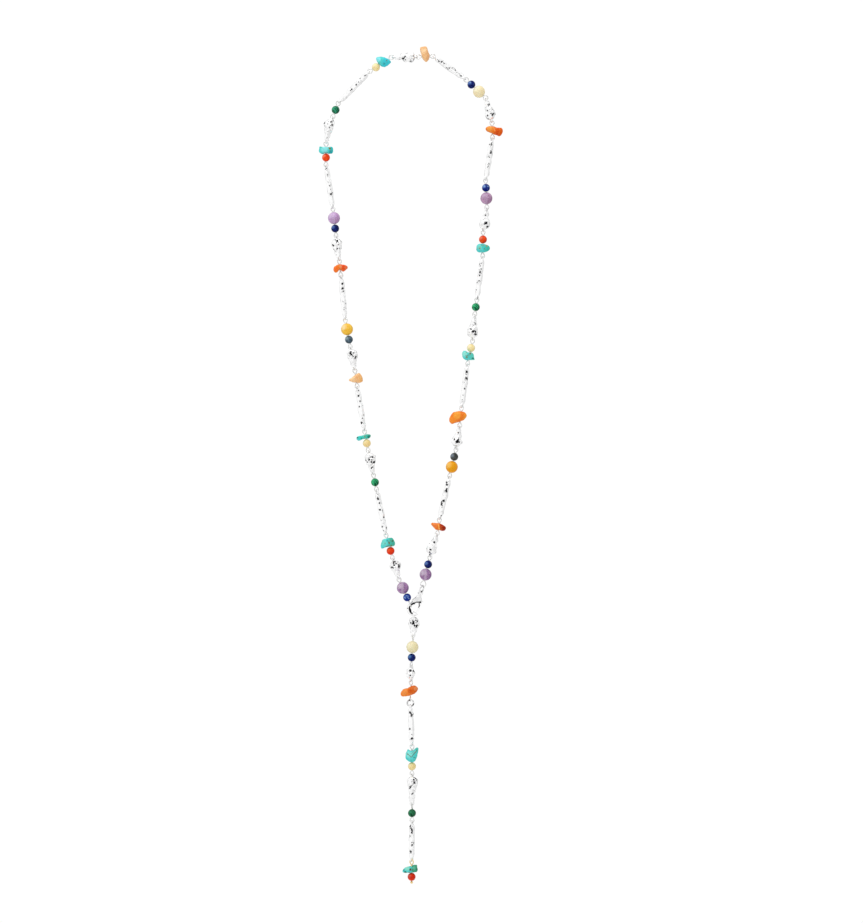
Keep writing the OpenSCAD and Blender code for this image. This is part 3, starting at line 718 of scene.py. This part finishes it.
def doubled_wire(points):
    """A wire folded double through its stones, opened into an eye at both ends."""
    middle, u, half = axis_of(points)
    c1, s1, r1 = eye_at(points, middle - u * half, u)
    c2, s2, r2 = eye_at(points, middle + u * half, -u)
    if s1 @ s2 < 0:
        s2 = -s2
    deep = 0.5
    a = eye_path(c1, u, s1, r1, deep)
    b = eye_path(c2, -u, -s2, r2, deep)

    def inside(start, end, from_side, to_side):
        """One strand inside the stones, which turns from the one eye's plane to the other's."""
        done = []
        for t in np.linspace(0, 1, 10)[1:-1]:
            side = unit(from_side * (1 - t) + to_side * t)
            core = start + (end - start) * t
            done.append(core + side * STRAND_APART)
        return done

    inner1, inner2 = c1 + (r1 + (EYE_MOUTH + deep)) * u, c2 - (r2 + (EYE_MOUTH + deep)) * u
    first = inside(inner1, inner2, -s1, -s2)
    second = inside(inner2, inner1, s2, s1)
    return tube([*a, *first, *b, *second], STRAND, 12, closed=True)


def ring_at(points, radius, thick, seam=0.06):
    """A jump ring from its CAD torus: nearly closed, its two ends meeting at a fine seam."""
    middle = (points.max(0) + points.min(0)) / 2
    axes = np.linalg.eigh(np.cov((points - middle).T))[1]
    n, a, b = axes[:, 0], axes[:, 1], axes[:, 2]
    path = []
    for t in np.linspace(seam, 2 * math.pi - seam, 73):
        aside = n * 0.05 * math.sin(t / 2 + math.pi / 2)
        path.append(middle + radius * (math.cos(t) * a + math.sin(t) * b) + aside)
    return tube(path, thick, 14)


def headed_pin(points):
    """The last wire: an eye on top, a strand through the stones, and the ball that holds them."""
    middle, u, half = axis_of(points)
    if u[2] < 0:
        u = -u
    top = middle + u * half
    centre, side, outer = eye_at(points, top, -u)
    low = middle - u * half
    shells = [tube(eye_path(centre, -u, side, outer, 1.2), STRAND, 12)]
    start = centre - u * (outer + 0.6)
    ball = low + u * (BALL - 0.03)
    length = (start - ball) @ u
    path, radius = [], []
    for t in np.linspace(0, length - BALL * 0.9, 12):
        path.append(start - u * t)
        radius.append(PIN_STRAND)
    # The ball, a little flattened along the wire
    for a in np.linspace(0.42, math.pi - 0.05, 16):
        path.append(ball + u * BALL * 0.92 * math.cos(a))
        radius.append(BALL * math.sin(a))
    shells.append(tube(path, radius, 16))
    return shells


# Stones

CHIP_DENTS = 7


def spot(look, colour, at, where, radius, tint, soft=0.5, strength=1.0, depth=0.25):
    """Tints a roundish patch at [x, z] in mm, 1 / depth of its radius deep and uneven as at is."""
    d = look.vector("SUBTRACT", at, (where[0], 0, where[1]))
    d = look.vector("MULTIPLY", d, (1, depth, 1))
    off = look.vector("LENGTH", d)
    share = look.ramp(off, radius * (1 + soft), radius * (1 - soft), 0.0, strength)
    return look.blend(share, colour, tint)


def across(look, colour, at, way, start, end, tint):
    """Fades to another colour along a direction in the picture's plane."""
    d = look.vector("DOT_PRODUCT", at, (way[0], 0, way[1]))
    return look.blend(look.ramp(d, start, end), colour, tint)


def broken(look, amount, scale):
    """The piece's coordinates with noise of that amount in mm added."""
    shake = look.vector("SUBTRACT", look.noise(scale, 3, colour=True, offset=3.7), (0.5, 0.5, 0.5))
    return look.vector("ADD", look.at, look.vector("SCALE", shake, scale=amount * 2))


def line(look, colour, at, a, b, width, tint, strength=1.0, fade=(1.6, 0.5)):
    """Tints a line from a to b, both [x, z] in mm, that fades between those shares of its width."""
    a, b = np.array((a[0], 0, a[1]), float), np.array((b[0], 0, b[1]), float)
    u = unit(b - a)
    v = np.cross(u, (0, 1, 0))
    rel = look.vector("SUBTRACT", at, tuple(a))
    off = look.maths("ABSOLUTE", look.vector("DOT_PRODUCT", rel, tuple(v)))
    along = look.vector("DOT_PRODUCT", rel, tuple(u))
    share = look.ramp(off, width * fade[0], width * fade[1], 0.0, strength)
    length = float(np.linalg.norm(b - a))
    share = look.maths("MULTIPLY", share, look.ramp(along, -width, width))
    share = look.maths("MULTIPLY", share, look.ramp(along, length + width, length - width))
    return look.blend(share, colour, tint)


def chip_skin(points, faces, seed):
    """A tumbled stone from its CAD solid, as full as that but soft all over."""
    rng = np.random.default_rng(seed)
    p, n, f = remeshed(points, faces, VOXEL, 14)
    low, high = points.min(0), points.max(0)
    own_low, own_high = p.min(0), p.max(0)
    # Smoothing shrinks the stone, so it is stretched to the solid's box again
    p = (p - own_low) / (own_high - own_low) * (high - low) + low
    n = normals_of(p, f)
    shift = 0.09 * waves(p, rng, 3.4, 3)
    for _ in range(CHIP_DENTS):
        i = rng.integers(len(p))
        shift = shift - rng.uniform(0.06, 0.16) * dip(p, n, p[i], n[i], rng.uniform(0.7, 1.5))
    return p + n * (shift - 0.05)[:, None], f


# The metal pieces

studio()
silver = silver_look()
pale_wire = wire_look("wire", rgb(238, 238, 237), rgb(208, 208, 205))
gold_wire = wire_look("pin_wire", rgb(240, 216, 150), rgb(226, 190, 110))

# Each casting and chip has a seed of its own. Links and wires are grouped by stretch.
seed = 100
STRETCHES = ("right", "left", "drop")
for kind in CASTINGS:
    for stretch in STRETCHES:
        node = f"{kind}_links_{stretch}"
        shells = []
        for points, faces in solids(node):
            seed += 1
            shells.append(casting(points, faces, seed, kind))
        piece("cast_" + node, shells, silver, "necklace", node)

for stretch in STRETCHES:
    node = "eye_wires_" + stretch
    shells = [(*doubled_wire(points), None) for points, _ in solids(node)]
    piece("strand_" + node, shells, pale_wire, "necklace", node)
pin = [(*shell, None) for shell in headed_pin(solids("head_pin")[0][0])]
piece("pin_with_ball", pin, gold_wire, "necklace", "head_pin")
RINGS = (("clasp_ring", "jump_ring_clasp", 1.9), ("drop_ring", "jump_ring_drop", 1.6))
for node, name, radius in RINGS:
    points, faces = ring_at(solids(node)[0][0], radius, RING_STRAND)
    ring = (points, faces, grey_share(points, RING_GREYS[node]))
    piece(name, [ring], silver, "necklace", node)

for node, name, body, voxel, specks, grooves in (
    ("clasp_body", "clasp_hook_and_shoulder", "necklace", 0.09, CLASP_SPECKS, CLASP_GROOVES),
    ("clasp_lever", "clasp_lever_rounded", "clasp_lever", 0.07, (), LEVER_GROOVES),
):
    shells = []
    for points, faces in solids(node):
        p, n, f = remeshed(points, faces, voxel, 12)
        # Remeshing and smoothing take a little off
        p = p + n * 0.02
        wall = 0
        if node == "clasp_body":
            # The hook's inner wall swells into a crescent painted dark as shade
            p, wall = hook_wall(p, n)
            n = normals_of(p, f)
            # The clasp's broad greyer places are painted shade on its front
            wall = np.maximum(wall, grey_share(p, CLASP_GREYS) * (n[:, 1] < 0))
        p, dark = blacken(p, n, specks, (), grooves)
        shells.append((p, f, np.maximum(dark, wall)))
    piece(name, shells, silver, body, node)

# The stones, one by one

# Colours of a kind, tuned beside the picture's stones: middle, dark, light. On round beads the dark
# also gives their painted shade and the light their painted highlight
KINDS = {
    "amethyst": (rgb(172, 132, 176), rgb(124, 86, 134), rgb(206, 198, 206)),
    "lapis": (rgb(4, 24, 104), rgb(2, 12, 62), rgb(104, 140, 206)),
    "amber": (rgb(234, 160, 6), rgb(228, 148, 8), rgb(247, 208, 120)),
    "yellow": (rgb(243, 224, 164), rgb(240, 216, 148), rgb(250, 242, 212)),
    "malachite": (rgb(6, 112, 66), rgb(0, 44, 28), rgb(64, 196, 132)),
    "carnelian": (rgb(246, 78, 10), rgb(194, 38, 8), rgb(242, 140, 104)),
    "cream": (rgb(242, 226, 182), rgb(242, 226, 178), rgb(250, 244, 220)),
    "orange": (rgb(234, 116, 26), rgb(190, 58, 8), rgb(248, 166, 82)),
    "turquoise": (rgb(70, 206, 202), rgb(22, 150, 156), rgb(136, 232, 228)),
    "peach": (rgb(241, 186, 126), rgb(232, 162, 96), rgb(250, 216, 172)),
}
# How strongly each kind shines, how much light it lets in, and how pale its drill hole shows
SHINE = {
    "amethyst": (0.2, 0.2, 0.34), "lapis": (0.07, 0, 0), "amber": (0.14, 0.12, 0),
    "yellow": (0.25, 0.2, 0.2), "malachite": (0.08, 0, 0), "carnelian": (0.12, 0.08, 0),
    "cream": (0.25, 0.2, 0.2), "orange": (0.1, 0.05, 0), "turquoise": (0.1, 0, 0),
    "peach": (0.2, 0.2, 0),
}
BROWN = rgb(112, 80, 28)
OLIVE = rgb(134, 122, 44)
DARK_GREEN = rgb(20, 96, 80)
AMBER_LINE = rgb(250, 186, 96)
RED_BROWN = rgb(134, 34, 12)

# Chips: where the second colour begins, as [way x, way z, from, to, colour], then patches
# [x, z, radius, colour, strength] and lines [x, z, x, z, width, colour]. Places are shares of the
# chip's half size from its middle, and radii and widths are mm.
# On most chips the second colour, towards the right, is partly painted shade and partly the stone's
# own tone, and the pale patch on the left is a painted highlight
CHIP_LOOKS = {
    "orange_chip_1": (
        [1, 0, 0.05, 0.35, rgb(172, 44, 4)],
        [[-0.5, 0.3, 1.2, rgb(238, 126, 66), 0.7], [0.8, -0.2, 1.0, RED_BROWN, 0.6]],
        [[0.0, 0.7, 0.1, -0.6, 0.28, AMBER_LINE]],
    ),
    "orange_chip_2": (
        [1, -0.3, 0.4, 1.0, rgb(244, 158, 44)],
        [[-0.1, 0.35, 1.9, rgb(248, 168, 60), 0.8], [-0.6, -0.4, 1.6, rgb(250, 148, 44), 0.7]],
        [],
    ),
    "orange_chip_3": (
        [1, -0.3, -0.2, 0.3, rgb(222, 86, 2)],
        [
            [-0.55, 0.45, 1.3, rgb(246, 164, 70), 0.8], [0.3, -0.45, 1.3, rgb(210, 70, 0), 0.7],
            [0.7, 0.4, 0.8, rgb(236, 110, 48), 0.7],
        ],
        [[-0.1, 0.8, 0.1, -0.1, 0.2, rgb(248, 170, 100)]],
    ),
    "orange_chip_4": (
        [1, 0.1, 0.0, 0.35, rgb(232, 80, 26)],
        [
            [-0.6, -0.2, 1.3, rgb(250, 108, 34), 0.8], [0.05, 0.4, 0.7, rgb(238, 152, 120), 0.7],
            [0.75, 0.2, 0.6, rgb(238, 132, 88), 0.6],
        ],
        [],
    ),
    "orange_chip_5": (
        [1, 0.2, -0.15, 0.25, rgb(216, 98, 24)],
        [
            [-0.6, -0.1, 1.5, rgb(236, 146, 74), 0.7], [0.05, 0.1, 1.0, rgb(204, 80, 12), 0.8],
            [0.7, 0.5, 1.0, rgb(226, 146, 96), 0.7],
        ],
        [],
    ),
    "turquoise_chip_1": (
        [1, -0.1, -0.2, 0.6, rgb(90, 206, 190)],
        [
            [-0.6, 0.3, 1.2, rgb(150, 230, 214), 0.8], [0.3, 0.35, 0.45, BROWN, 0.9],
            [-0.25, -0.35, 0.45, OLIVE, 0.9], [0.75, -0.6, 0.5, DARK_GREEN, 0.8],
            [-0.35, 0.6, 0.3, OLIVE, 0.8],
        ],
        [[-0.5, -0.1, 0.1, 0.15, 0.12, BROWN]],
    ),
    "turquoise_chip_2": (
        [1, 0, -0.1, 0.5, rgb(66, 192, 178)],
        [
            [-0.55, 0.1, 1.1, rgb(130, 220, 200), 0.7], [-0.5, -0.15, 0.42, OLIVE, 0.9],
            [0.0, 0.5, 0.4, OLIVE, 0.9], [0.5, 0.4, 0.42, rgb(160, 130, 50), 0.9],
            [0.2, -0.2, 0.35, BROWN, 0.85], [-0.3, 0.6, 0.3, BROWN, 0.8],
        ],
        [],
    ),
    "turquoise_chip_3": (
        [1, -0.2, -0.35, 0.1, rgb(60, 204, 216)],
        [
            [-0.7, 0.3, 1.1, rgb(146, 238, 246), 0.8], [0.45, 0.1, 0.4, BROWN, 0.8],
            [0.1, -0.5, 0.5, rgb(60, 150, 150), 0.7], [-0.1, 0.3, 0.3, rgb(120, 210, 170), 0.8],
        ],
        [],
    ),
    "turquoise_chip_4": (
        [1, -0.4, 0.2, 0.8, rgb(46, 196, 196)],
        [
            [-0.2, 0.1, 1.7, rgb(152, 236, 238), 0.7], [0.55, 0.3, 0.6, OLIVE, 0.9],
            [0.6, 0.35, 0.3, BROWN, 0.95], [-0.7, 0.65, 0.4, rgb(90, 180, 150), 0.8],
            [0.65, -0.6, 0.8, rgb(20, 150, 160), 0.6],
        ],
        [],
    ),
    "turquoise_chip_5": (
        [1, 0, -0.2, 0.4, rgb(60, 176, 150)],
        [
            [0.0, 0.1, 1.8, rgb(66, 196, 180), 0.8], [-0.55, 0.0, 1.0, rgb(56, 208, 196), 0.8],
            [-0.85, -0.1, 0.4, DARK_GREEN, 0.9], [0.75, 0.2, 0.7, rgb(24, 120, 108), 0.85],
            [0.15, 0.3, 0.4, OLIVE, 0.8], [-0.3, -0.3, 0.4, rgb(20, 140, 130), 0.8],
        ],
        [],
    ),
    "turquoise_chip_6": (
        [1, -0.1, -0.2, 0.4, rgb(66, 182, 162)],
        [
            [-0.6, 0.1, 1.3, rgb(124, 218, 202), 0.7], [0.2, 0.1, 0.45, BROWN, 0.9],
            [0.5, -0.45, 0.4, OLIVE, 0.9], [-0.1, -0.55, 0.35, BROWN, 0.85],
            [0.65, 0.45, 0.5, rgb(70, 84, 34), 0.85], [-0.1, 0.5, 0.5, rgb(40, 160, 158), 0.8],
            [-0.4, 0.0, 0.3, BROWN, 0.8], [0.35, 0.6, 0.3, OLIVE, 0.85],
        ],
        [[0.0, 0.6, 0.3, -0.1, 0.12, BROWN]],
    ),
    "turquoise_chip_7": (
        [1, -0.1, 0.05, 0.6, rgb(80, 206, 200)],
        [
            [-0.4, 0.1, 1.6, rgb(150, 232, 222), 0.6], [0.7, 0.75, 0.6, rgb(70, 176, 150), 0.6],
            [-0.1, -0.35, 0.9, rgb(90, 222, 222), 0.6],
        ],
        [
            [-0.75, 0.25, -0.1, -0.25, 0.14, BROWN], [-0.1, -0.25, 0.75, 0.75, 0.17, BROWN],
            [-0.1, 0.2, 0.35, 0.55, 0.1, OLIVE], [0.1, -0.2, 0.6, -0.4, 0.1, DARK_GREEN],
        ],
    ),
    "turquoise_chip_8": (
        [1, 0.1, 0.0, 0.5, rgb(60, 160, 124)],
        [
            [-0.35, 0.25, 1.0, rgb(140, 216, 192), 0.85], [0.05, 0.0, 0.6, rgb(72, 60, 22), 0.95],
            [0.35, -0.1, 0.4, rgb(84, 104, 50), 0.85], [-0.6, -0.7, 0.6, rgb(10, 96, 64), 0.9],
            [-0.1, -0.9, 0.6, rgb(10, 96, 64), 0.85], [0.55, 0.35, 0.7, rgb(110, 190, 160), 0.7],
            [0.92, 0.0, 0.5, rgb(16, 104, 72), 0.9], [0.3, 0.8, 0.4, rgb(20, 120, 96), 0.8],
            [-0.8, -0.2, 0.4, rgb(10, 110, 80), 0.8],
        ],
        [],
    ),
    "peach_chip_1": (
        [1, 0, 0.1, 0.8, rgb(234, 176, 120)],
        [[-0.3, 0.3, 1.3, rgb(248, 212, 168), 0.6]],
        [],
    ),
    "peach_chip_2": (
        [1, 0, 0.2, 0.9, rgb(242, 180, 106)],
        [[-0.5, -0.2, 1.4, rgb(248, 214, 166), 0.6], [0.2, 0.1, 0.8, rgb(232, 170, 104), 0.5]],
        [],
    ),
}
# Round beads that differ from their kind: middle, dark, light, the dark and the light also giving
# their painted shade and highlight
BEAD_LOOKS = {
    "lapis_bead_2": (rgb(74, 78, 76), rgb(46, 48, 46), rgb(140, 152, 166)),
    "lapis_bead_6": (rgb(80, 102, 118), rgb(50, 64, 70), rgb(172, 194, 202)),
    "lapis_bead_3": (rgb(2, 26, 122), rgb(2, 24, 104), rgb(110, 144, 214)),
    "lapis_bead_7": (rgb(10, 44, 138), rgb(6, 36, 122), rgb(84, 118, 196)),
    "lapis_bead_8": (rgb(2, 26, 108), rgb(0, 18, 78), rgb(96, 146, 200)),
    "cream_bead_2": (rgb(232, 222, 178), rgb(230, 218, 170), rgb(242, 236, 206)),
    "amethyst_bead_3": (rgb(200, 162, 208), rgb(170, 132, 176), rgb(210, 194, 220)),
    "amethyst_bead_2": (rgb(196, 158, 190), rgb(146, 102, 138), rgb(180, 160, 186)),
    "carnelian_bead_4": (rgb(228, 54, 8), rgb(186, 26, 2), rgb(196, 96, 84)),
    "carnelian_bead_2": (rgb(248, 80, 10), rgb(216, 46, 6), rgb(250, 154, 118)),
    "carnelian_bead_3": (rgb(234, 58, 6), rgb(210, 44, 10), rgb(244, 104, 56)),
    "amber_bead_2": (rgb(246, 198, 74), rgb(238, 182, 46), rgb(250, 236, 196)),
    "malachite_bead_2": (rgb(10, 96, 60), rgb(2, 56, 38), rgb(60, 170, 128)),
    "malachite_bead_4": (rgb(10, 82, 46), rgb(4, 46, 30), rgb(54, 140, 96)),
    "yellow_bead_3": (rgb(238, 212, 146), rgb(238, 208, 136), rgb(246, 228, 180)),
    "yellow_bead_4": (rgb(230, 208, 142), rgb(236, 216, 156), rgb(246, 232, 184)),
}
# Pale streaks of a bead, painted reflections: [x, z, x, z in shares of its radius, width in mm]
STREAKS = {
    "lapis_bead_7": [
        [-0.3, 0.53, 0.5, 0.38, 0.17], [-0.05, 0.14, 0.68, -0.35, 0.15],
        [-0.7, 0.14, -0.4, -0.27, 0.2],
    ],
    "lapis_bead_3": [[-0.6, 0.5, -0.3, 0.0, 0.3], [0.3, 0.5, 0.6, 0.1, 0.2]],
    "lapis_bead_4": [[-0.5, 0.5, -0.2, 0.3, 0.3]],
}
STREAK = rgb(150, 188, 230)


def polished(look, kind, colour, rough=0.24):
    """The shader of a polished stone of that colour."""
    shine, clear, _ = SHINE[kind]
    grain = look.noise(2.6, 4)
    look.set(
        Base_Color=colour,
        Roughness=look.ramp(grain, 0.3, 0.7, rough, rough + 0.12),
        Specular_IOR_Level=shine,
        IOR=1.54,
    )
    if clear:
        look.set(
            Subsurface_Weight=clear, Subsurface_Radius=(1.0, 0.8, 0.6), Subsurface_Scale=0.8 * MM,
        )
    look.bump(grain, 0.03 if clear else 0.045, 0.12 if clear else 0.3)


def bead_look(name, kind, low, high):
    """The material of a round bead whose box is from low to high."""
    look = Look("stone_" + name, tuple((low + high) / 2))
    middle, dark, light = BEAD_LOOKS.get(name, KINDS[kind])
    hole = SHINE[kind][2]
    r = (high - low).x / 2 / MM
    # A shift of the noise that is the bead's own
    own = float(sum(map(ord, name)) % 17)
    at = broken(look, 0.35 * r, 0.7)
    cloud = look.noise(0.75, 4, 0.6, offset=own)
    colour = look.blend(look.ramp(cloud, 0.38, 0.7), middle, dark)
    if kind == "malachite":
        inputs = {
            "Vector": look.vector("ADD", at, (own, 0, own)),
            "Scale": 0.42, "Distortion": 3.2, "Detail": 2.0, "Detail Scale": 1.1,
        }
        wave = look.add("ShaderNodeTexWave", inputs, bands_direction="DIAGONAL")
        colour = look.blend(look.ramp(wave.outputs["Fac"], 0.3, 0.72), light, dark)
        colour = look.blend(0.4, colour, middle)
    if kind == "lapis":
        pale = look.ramp(look.noise(1.1, 3, offset=own + 5), 0.56, 0.7, 0.0, 0.3)
        colour = look.blend(pale, colour, light)
        fleck = look.ramp(look.noise(6.5, 2, offset=own), 0.7, 0.74, 0.0, 0.6)
        colour = look.blend(fleck, colour, rgb(206, 190, 140))
    # Painted shade makes the bead darker towards the lower right, and a painted highlight makes it
    # paler on the upper left
    colour = across(look, colour, at, (0.86, -0.5), 0.2 * r, 1.2 * r, dark)
    colour = spot(look, colour, at, (-0.52 * r, 0.3 * r), 0.42 * r, light, 0.7, 0.62)
    # Pale streaks as painted reflections
    for x0, z0, x1, z1, width in STREAKS.get(name, ()):
        a, b = (x0 * r, z0 * r), (x1 * r, z1 * r)
        colour = line(look, colour, at, a, b, width, STREAK, 0.7, (2.2, 0))
    if hole:
        side = look.maths("ABSOLUTE", look.vector("DOT_PRODUCT", at, (1, 0, 0)))
        core = look.ramp(side, 0.34 * r, 0.06 * r, 0.0, hole)
        colour = look.blend(core, colour, light)
    polished(look, kind, colour)
    return look


def chip_look(name, kind, low, high):
    """The material of a chip whose box is from low to high."""
    look = Look("stone_" + name, tuple((low + high) / 2))
    middle, dark, light = KINDS[kind]
    hx, hz = (high - low).x / 2 / MM, (high - low).z / 2 / MM
    (way_x, way_z, start, end, second), patches, lines = CHIP_LOOKS[name]
    at = broken(look, 0.45, 0.8)
    # A shift of the noise that is the chip's own
    own = float(sum(map(ord, name)) % 13)

    def vein(scale):
        """0 along thin winding lines."""
        noise = look.noise(scale, 3, 0.6, offset=own + 2)
        return look.maths("ABSOLUTE", look.maths("SUBTRACT", noise, 0.5))

    cloud = look.noise(0.55, 4, offset=own)
    colour = look.blend(look.ramp(cloud, 0.35, 0.7, 0.0, 0.35), middle, light)
    # Towards the right the chip turns to its second colour, partly painted shade and partly its own
    # tone
    colour = across(look, colour, at, (way_x, way_z), start * hx, end * hx, second)
    # Patches: the stones' own spots, and on most chips a painted highlight on the left
    for x, z, r, tint, strength in patches:
        colour = spot(look, colour, at, (x * hx, z * hz), r, tint, 0.35, strength, 0.07)
    for x0, z0, x1, z1, width, tint in lines:
        colour = line(look, colour, at, (x0 * hx, z0 * hz), (x1 * hx, z1 * hz), width, tint, 0.85)
    if kind == "turquoise":
        share = look.ramp(vein(0.62), 0.022, 0.004, 0.0, 0.5)
        there = look.ramp(look.noise(0.5, 2, offset=own + 6), 0.48, 0.6)
        colour = look.blend(look.maths("MULTIPLY", share, there), colour, BROWN)
    else:
        colour = look.blend(look.ramp(vein(0.5), 0.05, 0.0, 0.0, 0.2), colour, light)
    polished(look, kind, colour, 0.28 if kind == "turquoise" else 0.24)
    return look


# Chips get a softer skin, and round beads keep their solid and get its material
for name, ob in NODES.items():
    kind = name.split("_")[0]
    low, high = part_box(name)
    if "_chip_" in name:
        seed += 1
        shell = (*chip_skin(*solids(name)[0], seed), None)
        piece("tumbled_" + name, [shell], chip_look(name, kind, low, high), "necklace", name)
    elif "_bead_" in name:
        look = bead_look(name, kind, low, high)
        for slot in ob.material_slots:
            slot.material = look.mat
